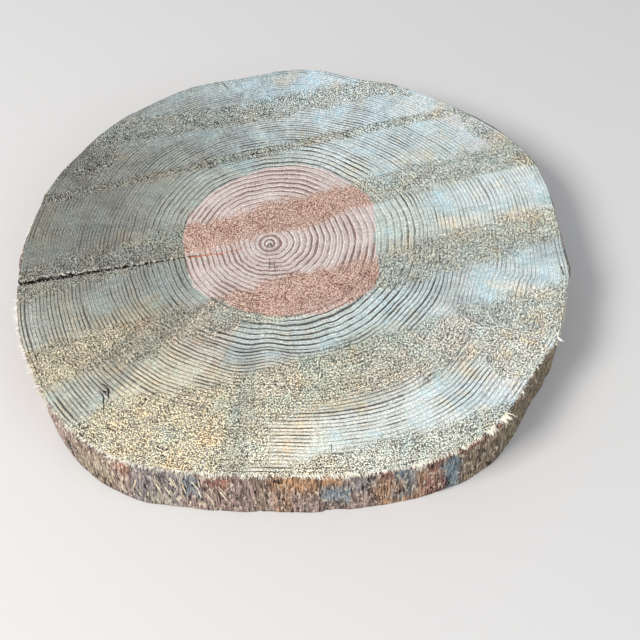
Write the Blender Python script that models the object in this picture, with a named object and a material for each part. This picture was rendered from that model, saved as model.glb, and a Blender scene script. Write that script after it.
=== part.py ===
"""A round slab sawn from the stem of a yellow pine, debarked, lying on its underside.

Metres, +Z up. The origin is the middle of the underside. The slab's front, the side that
shows most of its wall, faces -Y. It grew as one piece, so it is one solid.
"""

import math

import bmesh
import bpy
from mathutils import Vector, noise

MM = 0.001

# The slab as it was sawn, in millimetres
THICKNESS = 70.0
SEGMENTS = 288

# The edge of the sawn face: bearing in degrees, anticlockwise from +X, and distance in
# millimetres from the middle of the slab. The stem swells towards the front left, the
# front right and the back right, and has a knot's notch at bearing 349.
RIM = (
    (0, 302.5), (12, 306), (19, 311), (26, 314), (33, 311), (43, 303), (54, 296),
    (66, 292.5), (74, 288.5), (84, 294.5), (92, 294), (104, 287), (116, 292.5),
    (128, 293), (142, 296.5), (152, 295), (162, 299), (176, 302.5), (190, 306.5),
    (200, 313.5), (210, 318), (222, 325), (232, 326.5), (240, 322), (247, 312),
    (256, 302), (266, 295), (276, 296), (286, 302), (294, 308.5), (304, 313),
    (312, 313), (320, 307), (328, 304), (335, 309.5), (342, 307.5), (348.5, 305.5),
    (350.5, 308.5),
)

# How far the wall's foot stands outside the sawn edge, by bearing, in millimetres, and
# how fast the wall flares out to it
FOOT = (
    (0, 0), (60, 0), (120, 0), (180, -2), (205, -6), (225, -1), (240, 3), (255, 4),
    (275, 2), (295, 2), (310, 4), (322, 3), (334, -1), (345, -1),
)
FLARE_POWER = 1.5

# Heights of the wall's rows, and how far the two sawn edges are worn back there
ROWS = ((0.0, 1.2), (1.6, 0.0), (13.0, 0.0), (25.0, 0.0), (37.0, 0.0), (49.0, 0.0),
        (60.0, 0.0), (68.6, 0.0), (THICKNESS, 1.2))

# Fibre ridges on the wall, which lean a little as the stem's grain spirals
RIDGES_ROUND = 78
RIDGE_HEIGHT = 1.7
RIDGE_LENGTH = 160.0
GRAIN_LEAN = 0.10

# Scraps of inner bark that the debarker left, standing proud of the wood
BARK_SCRAPS_ROUND = 15
BARK_SCRAP_LENGTH = 55.0
BARK_SCRAP_HEIGHT = 1.4
BARK_SCRAP_LEVEL = 0.12
BARK_SCRAP_PLACE = Vector((9.0, 4.0, 0.0))

# Folds of the surface sharper than this show as edges, in degrees
SHARP_EDGE = 35.0

# Two passes of the saw meet along a straight ledge, and the front pass lies lower
SAW_BEARING = 17.3
LEDGE_FROM_MIDDLE = 151.0
LEDGE_DROP = 1.5

# The drying check, which runs from the left edge towards the pith
CHECK_MOUTH = (-301.0, -57.0)
CHECK_END = (-112.0, -14.5)
CHECK_MOUTH_WIDTH = 4.2
CHECK_END_WIDTH = 0.5
CHECK_END_DEPTH = 6.0
CHECK_ROOT_REACH = 0.45

# How far the cutters run past what they cut
CLEAR = 40.0
CUTTER_REACH = 450.0


def clear_scene():
    for obj in list(bpy.data.objects):
        bpy.data.objects.remove(obj)


def round_curve(stations, bearing):
    """The value at a bearing on a smooth closed curve through the stations."""
    count = len(stations)
    bearing %= 360.0
    after = next((i for i, s in enumerate(stations) if s[0] > bearing), 0)
    around = [stations[(after + k) % count] for k in (-2, -1, 0, 1)]
    offsets = [(s[0] - bearing + 180.0) % 360.0 - 180.0 for s in around]
    (t0, t1, t2, t3), (v0, v1, v2, v3) = offsets, [s[1] for s in around]
    span = t2 - t1
    slope1 = (v2 - v0) / (t2 - t0) * span
    slope2 = (v3 - v1) / (t3 - t1) * span
    u = -t1 / span
    return ((2 * u**3 - 3 * u**2 + 1) * v1 + (u**3 - 2 * u**2 + u) * slope1
            + (3 * u**2 - 2 * u**3) * v2 + (u**3 - u**2) * slope2)


def wall_relief(bearing, height):
    """Millimetres by which the wall stands out from its smooth surface."""
    turn = math.radians(bearing) + GRAIN_LEAN * height / THICKNESS
    around = Vector((math.cos(turn), math.sin(turn), 0.0))
    up = Vector((0.0, 0.0, height))
    ridge = noise.noise(around * RIDGES_ROUND / (2.0 * math.pi) + up / RIDGE_LENGTH)
    scrap = noise.noise(around * BARK_SCRAPS_ROUND / (2.0 * math.pi) + up / BARK_SCRAP_LENGTH
                        + BARK_SCRAP_PLACE)
    proud = BARK_SCRAP_HEIGHT if scrap > BARK_SCRAP_LEVEL else 0.0
    return RIDGE_HEIGHT * ridge + proud


def wall_point(bearing, height, worn):
    """A point of the wall, in millimetres from the middle of the underside."""
    foot = round_curve(FOOT, bearing) * (1.0 - height / THICKNESS) ** FLARE_POWER
    inside = worn if worn else -wall_relief(bearing, height)
    distance = round_curve(RIM, bearing) + foot - inside
    turn = math.radians(bearing)
    return Vector((distance * math.cos(turn), distance * math.sin(turn), height))


def object_from(bm, name):
    mesh = bpy.data.meshes.new(name)
    bmesh.ops.recalc_face_normals(bm, faces=bm.faces[:])
    bm.to_mesh(mesh)
    bm.free()
    obj = bpy.data.objects.new(name, mesh)
    bpy.context.scene.collection.objects.link(obj)
    return obj


def make_slab():
    """The slab's solid: a round of edges drawn up the wall row by row, and closed at both ends."""
    bm = bmesh.new()
    round_edges = bmesh.ops.create_circle(bm, segments=SEGMENTS, radius=1.0)["verts"]
    level = {edge for vert in round_edges for edge in vert.link_edges}
    for row, (height, worn) in enumerate(ROWS):
        if row:
            raised = bmesh.ops.extrude_edge_only(bm, edges=list(level))["geom"]
            level = {g for g in raised if isinstance(g, bmesh.types.BMEdge)}
        for vert in {v for edge in level for v in edge.verts}:
            bearing = math.degrees(math.atan2(vert.co.y, vert.co.x))
            vert.co = wall_point(bearing, height, worn) * MM
    bmesh.ops.holes_fill(bm, edges=bm.edges[:], sides=0)
    shift_to_middle(bm)
    slab = object_from(bm, "wood_cookie")
    slab.data.shade_smooth()
    slab.data.set_sharp_from_angle(angle=math.radians(SHARP_EDGE))
    return slab


def shift_to_middle(bm):
    """Puts the middle of the slab's outline over the origin."""
    for axis in (0, 1):
        places = [v.co[axis] for v in bm.verts]
        step = Vector((0, 0, 0))
        step[axis] = -(max(places) + min(places)) / 2
        bmesh.ops.translate(bm, verts=bm.verts[:], vec=step)


def wedge(name, corners):
    """A cutter with straight sides round the given corners, in millimetres."""
    bm = bmesh.new()
    for corner in corners:
        bm.verts.new(corner * MM)
    bmesh.ops.convex_hull(bm, input=bm.verts[:])
    cutter = object_from(bm, name)
    cutter.hide_render = True
    cutter.display_type = "WIRE"
    return cutter


def make_front_pass():
    """What the saw's front pass took off, down to LEDGE_DROP under the back pass."""
    turn = math.radians(SAW_BEARING)
    along = Vector((math.cos(turn), math.sin(turn), 0.0))
    forward = Vector((math.sin(turn), -math.cos(turn), 0.0))
    corners = [forward * across + along * reach + Vector((0, 0, height))
               for across in (-LEDGE_FROM_MIDDLE, CUTTER_REACH)
               for reach in (-CUTTER_REACH, CUTTER_REACH)
               for height in (THICKNESS - LEDGE_DROP, THICKNESS + CLEAR)]
    return wedge("front_pass_cutter", corners)


def make_check():
    """The drying check. It goes right through at the wall, and its root rises to the pith end."""
    mouth, end = Vector((*CHECK_MOUTH, 0.0)), Vector((*CHECK_END, 0.0))
    inward = (end - mouth).normalized()
    side = Vector((-inward.y, inward.x, 0.0))
    root_width = CHECK_MOUTH_WIDTH + (CHECK_END_WIDTH - CHECK_MOUTH_WIDTH) * CHECK_ROOT_REACH
    shallow = THICKNESS - LEDGE_DROP - CHECK_END_DEPTH
    sections = (
        (mouth - inward * CLEAR, CHECK_MOUTH_WIDTH, -CLEAR),
        (mouth.lerp(end, CHECK_ROOT_REACH), root_width, -CLEAR),
        (end, CHECK_END_WIDTH, shallow),
    )
    corners = [place + side * width * half + Vector((0, 0, height))
               for place, width, floor in sections
               for half in (-0.5, 0.5)
               for height in (floor, THICKNESS + CLEAR)]
    return wedge("drying_check_cutter", corners)


def cut(obj, cutter):
    modifier = obj.modifiers.new(cutter.name, "BOOLEAN")
    modifier.operation = "DIFFERENCE"
    modifier.object = cutter


def pine_wood():
    """Sapwood gone grey-blue with stain."""
    material = bpy.data.materials.new("stained_pine")
    material.use_nodes = True
    shader = material.node_tree.nodes["Principled BSDF"]
    shader.inputs["Base Color"].default_value = (0.47, 0.46, 0.40, 1.0)
    shader.inputs["Roughness"].default_value = 0.85
    shader.inputs["Metallic"].default_value = 0.0
    return material


clear_scene()
slab = make_slab()
slab.data.materials.append(pine_wood())
cut(slab, make_front_pass())
cut(slab, make_check())
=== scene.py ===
"""A round slice of yellow pine, debarked and gone blue with stain, lying on its sawn underside."""

import math
import random

import bmesh
import bpy
import numpy as np
from mathutils import Matrix, Vector, noise


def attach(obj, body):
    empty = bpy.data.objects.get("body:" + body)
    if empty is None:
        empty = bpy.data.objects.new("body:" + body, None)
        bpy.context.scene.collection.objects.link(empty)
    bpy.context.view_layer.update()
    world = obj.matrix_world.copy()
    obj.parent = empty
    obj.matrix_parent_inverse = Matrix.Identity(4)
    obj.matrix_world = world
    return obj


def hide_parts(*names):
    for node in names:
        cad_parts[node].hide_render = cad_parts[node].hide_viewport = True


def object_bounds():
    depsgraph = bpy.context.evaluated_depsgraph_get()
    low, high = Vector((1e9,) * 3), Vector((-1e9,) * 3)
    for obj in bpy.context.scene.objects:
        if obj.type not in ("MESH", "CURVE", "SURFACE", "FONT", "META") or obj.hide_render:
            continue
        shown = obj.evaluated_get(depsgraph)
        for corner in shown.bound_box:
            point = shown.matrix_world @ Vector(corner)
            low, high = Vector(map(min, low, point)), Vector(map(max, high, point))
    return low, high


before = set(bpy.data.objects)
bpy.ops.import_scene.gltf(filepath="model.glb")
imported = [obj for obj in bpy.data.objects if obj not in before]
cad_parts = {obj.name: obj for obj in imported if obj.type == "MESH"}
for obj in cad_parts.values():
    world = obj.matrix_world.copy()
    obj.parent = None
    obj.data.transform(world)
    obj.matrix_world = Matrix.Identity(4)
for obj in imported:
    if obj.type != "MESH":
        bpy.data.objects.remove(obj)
cad_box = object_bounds()


# The slab
# A slice about 610 mm across, sawn across the stem of a southern yellow pine and debarked.
# It grew as one piece: rings round an off-centre pith, a pink-brown heart, and a sapwood
# that a fungus has stained blue-grey. A drying check is open at the left.

MM = 0.001
THICKNESS = 70.0
FRONT_PASS_HEIGHT = 68.5
EDGE_WEAR = 1.2

# The sawn edge: bearing in degrees from +X, and distance in millimetres from the middle
RIM = (
    (0, 302.5), (12, 306), (19, 311), (26, 314), (33, 311), (43, 303), (54, 296),
    (66, 292.5), (74, 288.5), (84, 294.5), (92, 294), (104, 287), (116, 292.5),
    (128, 293), (142, 296.5), (152, 295), (162, 299), (176, 302.5), (190, 306.5),
    (200, 313.5), (210, 318), (222, 325), (232, 326.5), (240, 322), (247, 312),
    (256, 302), (266, 295), (276, 296), (286, 302), (294, 308.5), (304, 313),
    (312, 313), (320, 307), (328, 304), (335, 309.5), (342, 307.5), (348.5, 305.5),
    (350.5, 308.5),
)

# How far the wall's foot stands outside the sawn edge: bearing and millimetres
FOOT = (
    (0, 0), (60, 0), (120, 0), (180, -2), (205, -6), (225, -1), (240, 3), (255, 4),
    (275, 2), (295, 2), (310, 4), (322, 3), (334, -1), (345, -1),
)
FLARE_POWER = 1.5

# The growth rings, counted from the pith, and how far out each lies on average
PITH = (-28.0, 2.0)
RINGS = 60
RING_REACH = ((0, 0), (8, 50), (17.5, 112), (23.5, 152), (35, 200), (47, 250), (RINGS, 300))
YOUNG_LEAN = 0.13
YOUNG_LEAN_BEARING = 40.0

# Places where the rings bulge: bearing, half angle, ring, half depth in rings, millimetres
RING_BULGES = (
    (260, 7, 29, 8, 5.0), (272, 6, 28, 8, -4.5), (284, 8, 34, 10, 3.0), (226, 9, 26, 9, -3.0),
    (345, 8, 46, 11, -5.0), (14, 9, 49, 10, 4.0), (110, 12, 40, 11, -4.0), (68, 10, 20, 8, 3.0),
)

# The heart's edge: bearing and distance from the pith
HEART_EDGE = (
    (3, 118), (20, 129), (33, 135), (45, 131), (59, 132), (75, 128), (94, 117), (113, 109),
    (139, 103), (154, 103), (167, 99.5), (185, 95), (207, 97.5), (223, 102), (238, 94),
    (260, 99.5), (284, 104), (305, 117), (320, 124), (334, 133), (348, 125),
)

# The drying check, which runs from the left edge towards the pith
CHECK_BEARING = 191.8
CHECK_TIP = 78.0
CHECK_MOUTH_HALF_WIDTH = 3.3
CHECK_CLOSED_HALF_WIDTH = 0.12
CHECK_UNDERSIDE_TIP = 150.0
CHECK_BACK_RAGGEDNESS = 2.0
CHECK_LIP = 1.6

# Columns of the mesh round the pith. The middle five, at the check, are its root and walls
COLUMNS = 600
CHECK_WALL_COLUMNS = 2
WALL_HEIGHTS = (69.0, 66, 62, 57.5, 53, 48, 43, 38, 33, 28, 23, 18, 13, 8.5, 4.5, 1.0)
UNDERSIDE_RINGS = (RINGS, 58.5, 56, 52, 48, 44, 40, 35.5, 31, 26.5, 22, 17, 12.5, 8, 4)

# The saw's torn bands on the sawn face: distance in front of the middle, half width, bearing
# and strength. Between them the blade ran clean.
SAW_BANDS = (
    (-225, 20, 14.7, 0.75), (-151, 6, 17.3, 1.0), (-48, 21, 20, 1.0), (68, 24, 20, 1.0),
    (180, 32, 19, 1.0), (287, 20, 17, 0.8),
)
UNDERSIDE_BANDS = ((-190, 26, -12, 0.9), (-80, 18, -12, 1.0), (30, 28, -13, 1.0),
                   (150, 22, -12, 1.0), (255, 30, -11, 0.8))
LEDGE_BEARING = 17.3
LEDGE_IN_FRONT = -151.0

# Torn patches between the bands: place of the middle, half length and half width in
# millimetres, bearing of the length, and strength
TORN_PATCHES = (
    (-110, -246, 95, 44, -10, 1.0), (-235, 128, 30, 18, 55, 0.7), (-150, -128, 40, 26, 45, 0.8),
    (110, 262, 40, 8, -25, 0.8), (225, 185, 40, 10, 130, 0.7), (290, 30, 20, 22, 90, 0.7),
    (236, -147, 34, 34, 0, 0.8), (-240, -160, 22, 40, -45, 0.8),
)

# The colours of the wood, as a screen gives them, 0 to 255. Of these, shade is painted shade, and
# frost is a pale cold tone used mostly as painted light
COLOURS = {
    "sapwood": (194, 200, 188), "white": (228, 232, 228), "cream": (236, 228, 208),
    "tan": (220, 207, 178), "ochre": (190, 178, 146), "olive": (98, 98, 80),
    "drab": (158, 160, 150), "slate": (132, 145, 148), "blue": (152, 174, 184),
    "sky": (182, 202, 210), "rosy": (214, 200, 190), "red": (148, 112, 94),
    "mauve": (188, 162, 152), "ash": (160, 154, 154), "rust": (188, 118, 90),
    "orange": (226, 172, 124), "moss": (156, 138, 110), "teal": (142, 170, 182),
    "straw": (220, 208, 176), "frost": (206, 224, 234), "shade": (62, 62, 52),
}

# Stain runs along the rays, so it lies in wedges about the pith: two bearings, two
# distances in millimetres, the colour and its strength. Later ones lie over earlier ones
FACE_STAINS = (
    (100, 146, 186, 300, "slate", 0.40), (84, 101, 212, 252, "slate", 0.45),
    (78, 99, 240, 310, "blue", 0.60), (130, 141, 246, 300, "sky", 0.55),
    (62, 81, 272, 320, "white", 0.75), (69, 81, 222, 268, "cream", 0.50),
    (56, 64, 252, 320, "slate", 0.60), (45, 56.5, 260, 320, "cream", 0.60),
    (53, 64, 195, 250, "sky", 0.60), (95, 101, 188, 228, "cream", 0.40),
    (81, 93, 158, 180, "slate", 0.55), (62, 96, 180, 212, "white", 0.35),
    (97, 126, 130, 192, "slate", 0.45), (95, 103, 104, 166, "blue", 0.45),
    (108, 122, 128, 262, "drab", 0.30), (131, 146, 176, 206, "slate", 0.55),
    (144.5, 158, 232, 300, "olive", 0.90), (143, 170, 146, 245, "drab", 0.50),
    (139, 147, 144, 182, "ochre", 0.65), (157, 164, 184, 250, "olive", 0.55),
    (164, 190, 94, 300, "drab", 0.60), (170, 181, 164, 216, "slate", 0.60),
    (174, 181, 138, 170, "tan", 0.45), (170, 190, 244, 310, "ochre", 0.45),
    (181, 190.5, 120, 280, "slate", 0.45), (173, 177, 262, 310, "tan", 0.50),
    (192, 214, 92, 320, "drab", 0.35), (192, 222, 96, 152, "slate", 0.50),
    (196, 209.5, 128, 206, "blue", 0.25), (199, 213, 272, 330, "white", 0.35),
    (210.5, 223, 138, 330, "ochre", 0.60), (214, 221.5, 164, 330, "tan", 0.75),
    (221.5, 233, 104, 250, "drab", 0.85), (222.5, 232.5, 216, 330, "drab", 0.30),
    (224, 232.5, 228, 300, "slate", 0.25), (219, 222.5, 160, 184, "red", 0.70),
    (232.5, 262, 166, 340, "tan", 0.70), (232, 256, 98, 172, "rosy", 0.60),
    (235, 256, 205, 260, "tan", 0.60), (262, 267.5, 104, 340, "drab", 0.30),
    (262, 269.5, 196, 330, "drab", 0.40),
    (267.5, 282, 100, 236, "tan", 0.35), (267, 286, 236, 330, "cream", 0.75),
    (284, 313, 240, 330, "white", 0.75), (254, 267, 145, 171, "slate", 0.65),
    (268, 281, 150, 205, "rosy", 0.45), (256, 332, 110, 163, "sky", 0.50),
    (285, 300, 200, 236, "ochre", 0.25), (311.5, 320.5, 268, 330, "sky", 0.60),
    (299, 322, 196, 248, "rosy", 0.40), (321, 337, 212, 330, "rosy", 0.60),
    (322, 349, 146, 206, "sky", 0.60), (334, 341.5, 212, 316, "slate", 0.60),
    (341.5, 353, 224, 330, "sky", 0.45), (345.5, 348.5, 246, 330, "cream", 0.90),
    (351.5, 353, 238, 330, "white", 0.60), (353, 361, 252, 330, "sky", 0.45),
    (336, 352, 112, 216, "slate", 0.35), (350, 363, 118, 236, "drab", 0.45),
    (0, 8, 154, 330, "ochre", 0.25), (6.5, 11, 196, 330, "cream", 0.65),
    (356, 362, 290, 330, "slate", 0.50), (10.5, 24, 186, 330, "sky", 0.35),
    (14, 22, 232, 330, "white", 0.45), (24, 32, 126, 330, "drab", 0.35),
    (33, 42, 138, 188, "blue", 0.50), (34, 50, 190, 330, "sky", 0.35),
    (31, 45, 288, 330, "rosy", 0.60), (50, 72, 120, 184, "white", 0.40),
)

# The underside has the same wedges from the other side, fainter for being fresher
UNDERSIDE_STAIN = 0.6

# How soft the wedges are at their ends, in millimetres, and at their sides, in degrees
FACE_STAIN_EDGES = (9.0, 0.8)
WALL_STAIN_EDGES = (7.0, 1.0)
LINES_EDGES = (12.0, 3.0)

# How far a stain strays outwards from its wedge, ray by ray and from place to place
RAY_ENDS = 10.0
STAIN_WANDER = 6.0

# The stain along the ledge, and the painted shade over the check's back lip: how strong, and half
# how wide
LEDGE_STAIN = 0.6
LEDGE_STAIN_HALF_WIDTH = 3.2
CHECK_LIP_SHADE = 0.85
CHECK_LIP_SHADE_HALF_WIDTH = 3.5

# How clearly the ring lines show, in wedges like those of the stain, over a faint ground
FAINT_LINES = 0.38
LINES = (
    (0, 360, -20, 62, 0.85), (240, 335, 98, 168, 1.0), (226, 264, 160, 220, 0.80),
    (300, 344, 158, 206, 0.75), (190, 264, 40, 104, 0.95), (324, 394, 26, 128, 1.0),
    (58, 166, 45, 128, 0.90), (74, 146, 124, 206, 0.80), (140, 181, 98, 252, 0.60),
    (192, 222, 98, 238, 0.70), (264, 332, 226, 300, 0.62), (0, 24, 100, 160, 0.55),
    (192, 233, 238, 330, 0.75), (232, 262, 160, 236, 0.80), (145, 190, 238, 330, 0.60),
    (62, 140, 190, 330, 0.50), (44, 120, 130, 250, 0.75), (14, 34, 130, 200, 0.60),
)

# Broad tints over all, with painted shade that darkens the left and painted light that makes
# the right cold and pale. The place of the middle, half length, half width, bearing of the
# length, colour and strength
BROAD_LIGHT_SHADE_AND_TINTS = (
    (-290, 70, 230, 200, 0, "shade", 0.74), (-170, 205, 150, 100, 0, "shade", 0.22),
    (-160, -60, 150, 70, 0, "shade", 0.20), (-255, -20, 80, 90, 0, "shade", 0.30),
    (240, 80, 150, 260, 0, "frost", 0.28), (270, -165, 100, 80, 0, "frost", 0.64),
    (70, 255, 140, 70, 0, "frost", 0.85), (-60, -270, 170, 70, 0, "cream", 0.30),
    (-90, 235, 180, 80, 0, "blue", 0.22), (95, 150, 110, 60, 0, "frost", 0.34),
    (80, -255, 80, 60, 0, "slate", 0.14), (-60, 150, 90, 60, 0, "slate", 0.20),
    (215, -15, 110, 60, 0, "slate", 0.16), (258, -155, 65, 60, 0, "white", 0.75),
    (-185, -165, 120, 90, 0, "ochre", 0.26),
)

# Colour patches on the wall: two bearings about the slab's middle, two heights, colour
# and strength
WALL_STAINS = (
    (150, 228, -9, 79, "mauve", 0.80), (197, 212, 10, 60, "rust", 0.45),
    (226, 237, -9, 64, "moss", 0.55), (229, 236, 6, 40, "straw", 0.35),
    (236.8, 240.8, 46, 79, "rust", 0.60), (240.5, 249.5, -9, 79, "ash", 0.75),
    (243, 248, -9, 24, "straw", 0.35), (249.3, 253, 28, 66, "teal", 0.60),
    (255.2, 259, 44, 79, "rust", 0.60), (259, 263, -9, 79, "mauve", 0.80),
    (263, 265.6, -9, 79, "moss", 0.50), (265.6, 279, 34, 79, "orange", 0.80),
    (266, 285, -9, 38, "mauve", 0.60), (267.5, 270, -9, 30, "orange", 0.60),
    (276, 281.5, 16, 46, "teal", 0.75), (281.5, 285.5, 34, 62, "ash", 0.80),
    (285.5, 295.5, -9, 50, "orange", 0.65), (285.5, 290, 50, 79, "rust", 0.50),
    (290.6, 293, 8, 66, "teal", 0.80), (295.5, 299.5, -9, 79, "rust", 0.55),
    (299.5, 303.2, -9, 60, "teal", 0.85), (303.2, 313, -9, 62, "moss", 0.75),
    (301, 322, 60, 79, "rust", 0.75), (313, 360, -9, 79, "moss", 0.90),
    (4, 20, -9, 79, "teal", 0.40), (28, 46, -9, 56, "rust", 0.45),
    (50, 74, -9, 79, "moss", 0.60), (74, 92, 10, 79, "orange", 0.40),
    (96, 112, -9, 60, "ash", 0.70), (114, 130, -9, 79, "rust", 0.40),
    (134, 150, -9, 50, "teal", 0.50),
)

# Where bark pulled chips out from under the sawn edge: bearing, half angle, height, half
# height and depth
EDGE_CHIPS = ((236.5, 1.9, 57, 9, 4.5), (243.8, 1.3, 60, 7, 4.0), (248.5, 1.0, 34, 12, 2.0),
              (290.5, 1.2, 62, 5, 2.0), (327, 1.6, 60, 7, 2.5), (350.3, 1.2, 50, 24, 2.5),
              (74, 2.4, 58, 10, 3.0), (148, 2.0, 52, 14, 3.0), (11, 1.8, 55, 12, 2.5))

# Drying cracks up the wall: bearing, height, half height and depth
WALL_CRACKS = ((256.3, 36, 30, 2.5), (274.8, 26, 30, 2.5), (247.0, 44, 22, 2.0),
               (262.5, 16, 20, 1.5), (285.4, 30, 26, 1.8), (299.5, 34, 28, 1.8),
               (318.0, 40, 26, 2.0), (5.0, 30, 30, 2.0), (52.0, 34, 32, 2.4),
               (88.0, 40, 28, 2.0), (120.0, 26, 30, 2.4), (167.0, 40, 30, 2.0),
               (213.0, 32, 30, 2.0), (229.5, 36, 24, 1.6))

# Relief of the sawn face and of the wall, in millimetres
RING_GROOVE = 0.28
TORN_SINK = 0.35
TORN_RELIEF = 0.55
SAW_WAVE = 0.12
SAW_WAVE_LENGTH = 37.0
EDGE_RAGGEDNESS = 1.1
RIDGES_ROUND = 78
RIDGE_HEIGHT = 1.7
RIDGE_LENGTH = 160.0
GRAIN_LEAN = 0.10
FINE_RIDGES_ROUND = 300
FINE_RIDGE_HEIGHT = 0.55
BARK_SCRAPS_ROUND = 15
BARK_SCRAP_LENGTH = 55.0
BARK_SCRAP_HEIGHT = 1.4
BARK_SCRAP_LEVEL = 0.12
BARK_SCRAP_PLACE = (9.0, 4.0, 0.0)


def round_curve(stations, bearing):
    """Values at bearings, in degrees, on a smooth closed curve through the stations."""
    places, values = np.array(stations, float).T
    bearing = np.mod(bearing, 360.0)
    after = np.searchsorted(places, bearing, side="right")
    near = [(after + k) % len(places) for k in (-2, -1, 0, 1)]
    t0, t1, t2, t3 = [np.mod(places[i] - bearing + 180.0, 360.0) - 180.0 for i in near]
    v0, v1, v2, v3 = [values[i] for i in near]
    span = t2 - t1
    rise1 = (v2 - v0) / (t2 - t0) * span
    rise2 = (v3 - v1) / (t3 - t1) * span
    u = -t1 / span
    return ((2 * u**3 - 3 * u**2 + 1) * v1 + (u**3 - 2 * u**2 + u) * rise1
            + (3 * u**2 - 2 * u**3) * v2 + (u**3 - u**2) * rise2)


def mesh_from(bm, name):
    mesh = bpy.data.meshes.new(name)
    bm.to_mesh(mesh)
    bm.free()
    return mesh


def show(name, data):
    """Puts an object in the scene."""
    shown = bpy.data.objects.new(name, data)
    bpy.context.scene.collection.objects.link(shown)
    return shown


def drift(*coordinates):
    """Smooth noise, about -1 to 1, at points given as arrays of x, y and z."""
    points = np.stack(np.broadcast_arrays(*coordinates), axis=-1)
    return np.array([noise.noise(point) for point in points.tolist()])


def step_up(value, low, high):
    """0 below low, 1 above high, and smooth between."""
    share = np.clip((value - low) / (high - low), 0.0, 1.0)
    return share * share * (3.0 - 2.0 * share)


def rim_from_pith(bearing):
    """Distance from the pith to the sawn edge, along bearings from the pith."""
    turn = np.radians(bearing)
    inner, outer = np.zeros_like(turn), np.full_like(turn, 400.0)
    for _ in range(24):
        middle = (inner + outer) / 2
        x, y = PITH[0] + middle * np.cos(turn), PITH[1] + middle * np.sin(turn)
        inside = np.hypot(x, y) < round_curve(RIM, np.degrees(np.arctan2(y, x)))
        inner, outer = np.where(inside, middle, inner), np.where(inside, outer, middle)
    return inner


QUARTER_DEGREES = np.arange(0.0, 360.25, 0.25)
RIM_FROM_PITH = rim_from_pith(QUARTER_DEGREES)


def ring_distance(ring, bearing):
    """Distance from the pith to a growth ring. Young rings lean, and old ones follow the rim."""
    bearing = np.mod(bearing, 360.0)
    turn = np.radians(bearing)
    mean = np.interp(ring, *zip(*RING_REACH))
    full = RING_REACH[-1][1]
    age = (mean / full) ** 1.5
    young = 1.0 + YOUNG_LEAN * np.cos(turn - math.radians(YOUNG_LEAN_BEARING))
    old = np.interp(bearing, QUARTER_DEGREES, RIM_FROM_PITH) / full
    bulge = 0.0
    for centre, half_angle, at_ring, half_depth, height in RING_BULGES:
        off = (np.mod(bearing - centre + 180.0, 360.0) - 180.0) / half_angle
        bulge = bulge + height * np.exp(-off**2 - ((ring - at_ring) / half_depth) ** 2)
    wander = 2.4 * drift(2.2 * np.cos(turn), 2.2 * np.sin(turn), ring / 9.0)
    wander += 1.0 * drift(9.0 * np.cos(turn), 9.0 * np.sin(turn), ring / 5.0)
    free = step_up(ring, 0.0, 9.0) * (1.0 - step_up(ring, RINGS - 7.0, RINGS))
    return mean * ((1.0 - age) * young + age * old) + (bulge + wander) * free


LEFT_RINGS = np.arange(0.0, RINGS + 0.25, 0.25)
LEFT_REACH = ring_distance(LEFT_RINGS, np.full_like(LEFT_RINGS, CHECK_BEARING))
END_GRAIN, BARE_WALL, CHECK_WALL = range(3)


def turned_blank():
    """The slab before it takes its shape: its radius counts rings, and its height millimetres."""
    bm = bmesh.new()
    face = [(half / 2.0, THICKNESS) for half in range(2 * RINGS + 1)]
    wall = [(RINGS, height) for height in WALL_HEIGHTS]
    underside = [(ring, 0.0) for ring in UNDERSIDE_RINGS] + [(0.0, 0.0)]
    profile = [bm.verts.new((ring, 0.0, height)) for ring, height in face + wall + underside]
    edges = [bm.edges.new(pair) for pair in zip(profile, profile[1:])]
    bmesh.ops.spin(bm, geom=profile + edges, cent=(0, 0, 0), axis=(0, 0, 1),
                   angle=math.tau, steps=COLUMNS, use_merge=True)
    bmesh.ops.remove_doubles(bm, verts=bm.verts[:], dist=0.0001)
    bmesh.ops.recalc_face_normals(bm, faces=bm.faces[:])
    for quad in bm.faces:
        centre = quad.calc_center_median()
        quad.smooth = True
        quad.material_index = blank_material(centre)
    return bm


def blank_material(centre):
    """Which of the slab's materials a face of the blank wears."""
    column = abs(math.atan2(centre.y, centre.x)) * COLUMNS / math.tau
    reach = np.interp(centre.xy.length, LEFT_RINGS, LEFT_REACH)
    tip = CHECK_TIP if centre.z > THICKNESS - 0.1 else CHECK_UNDERSIDE_TIP
    if column < CHECK_WALL_COLUMNS and reach > tip:
        return CHECK_WALL
    return END_GRAIN if centre.z > THICKNESS - 0.1 or centre.z < 0.1 else BARE_WALL


def check_half_width(reach, height, side):
    """Half the check's width at a distance from the pith. Its lips are ragged."""
    mouth = LEFT_REACH[-1]
    tip = np.where(height < 0.1, CHECK_UNDERSIDE_TIP, CHECK_TIP)
    open_share = np.clip((reach - tip) / (mouth - tip), 0.0, 1.0)
    ragged = 0.7 * drift(reach * 0.45, side * 7.0, 0.3) + 0.5 * drift(reach * 0.13, side, 5.0)
    ragged = 1.0 + ragged * np.where(side < 0.0, CHECK_BACK_RAGGEDNESS, 0.4)
    width = CHECK_MOUTH_HALF_WIDTH * open_share**0.6 * ragged
    return np.maximum(width, CHECK_CLOSED_HALF_WIDTH)


def column_bearings(ring, height, column):
    """Bearings from the pith of the blank's columns, which crowd together at the check."""
    reach = np.maximum(ring_distance(ring, np.full_like(ring, CHECK_BEARING)), 1.0)
    side, spacing = np.abs(column), math.tau / COLUMNS
    lip = np.minimum(check_half_width(reach, height, np.sign(column)) / reach, 2 * spacing)
    shoulder = np.minimum(lip + CHECK_LIP / reach, 3 * spacing)
    turn = lip * side / CHECK_WALL_COLUMNS
    spread = (math.pi - shoulder) / (COLUMNS / 2 - CHECK_WALL_COLUMNS - 1)
    turn = np.where(side > CHECK_WALL_COLUMNS,
                    shoulder + (side - CHECK_WALL_COLUMNS - 1) * spread, turn)
    return CHECK_BEARING + np.sign(column) * np.degrees(turn)


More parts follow.
